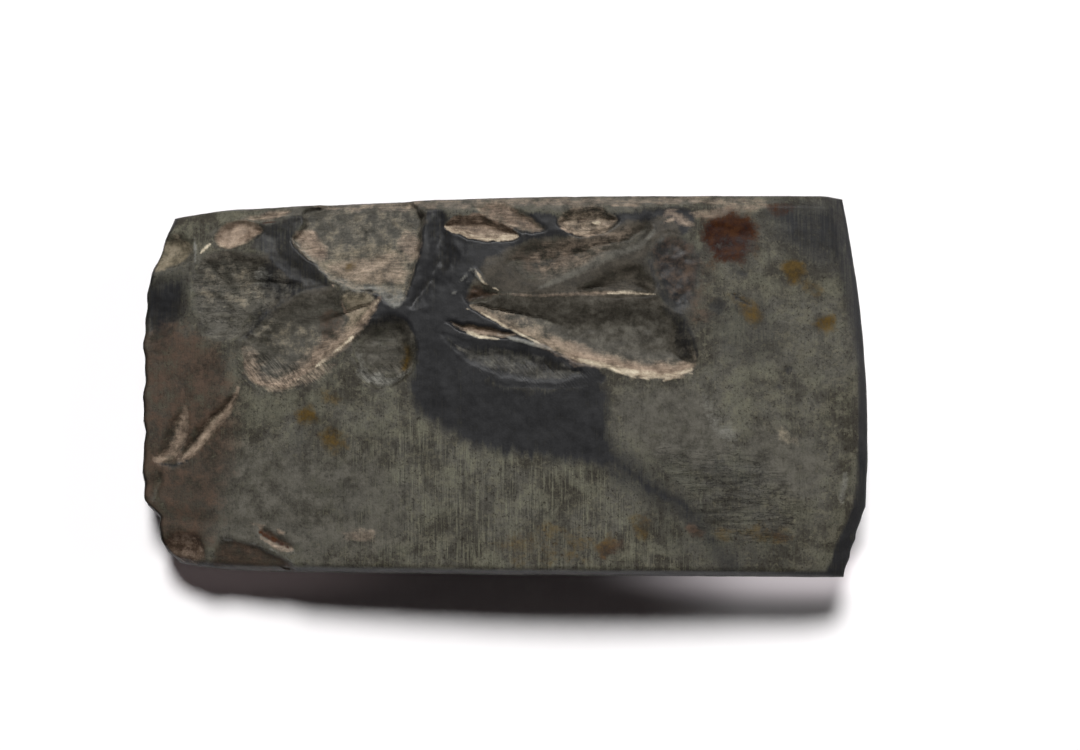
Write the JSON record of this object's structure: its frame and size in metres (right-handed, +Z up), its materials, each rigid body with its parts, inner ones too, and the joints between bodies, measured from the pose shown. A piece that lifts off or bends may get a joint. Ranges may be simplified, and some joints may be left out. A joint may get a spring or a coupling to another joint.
{
  "type": "jadeite axe head",
  "caption": "Rectangular axe head of dark ground stone, flaked along one long side and the butt, with a bowed cutting edge, lying on its rounder face.",
  "frame": {"origin": "on the resting flat's plane, under the middle of the stone's box", "axes": "+X from the butt to the cutting edge, +Y to the flaked long side, +Z up from the resting flat"},
  "size_m": [0.1207, 0.0634, 0.02],
  "materials": {
    "stone": "ground and partly polished dark green-black stone with dull patina and rough flake scars"
  },
  "bodies": {
    "root": {"axe_head": "stone"}
  },
  "joints": []
}
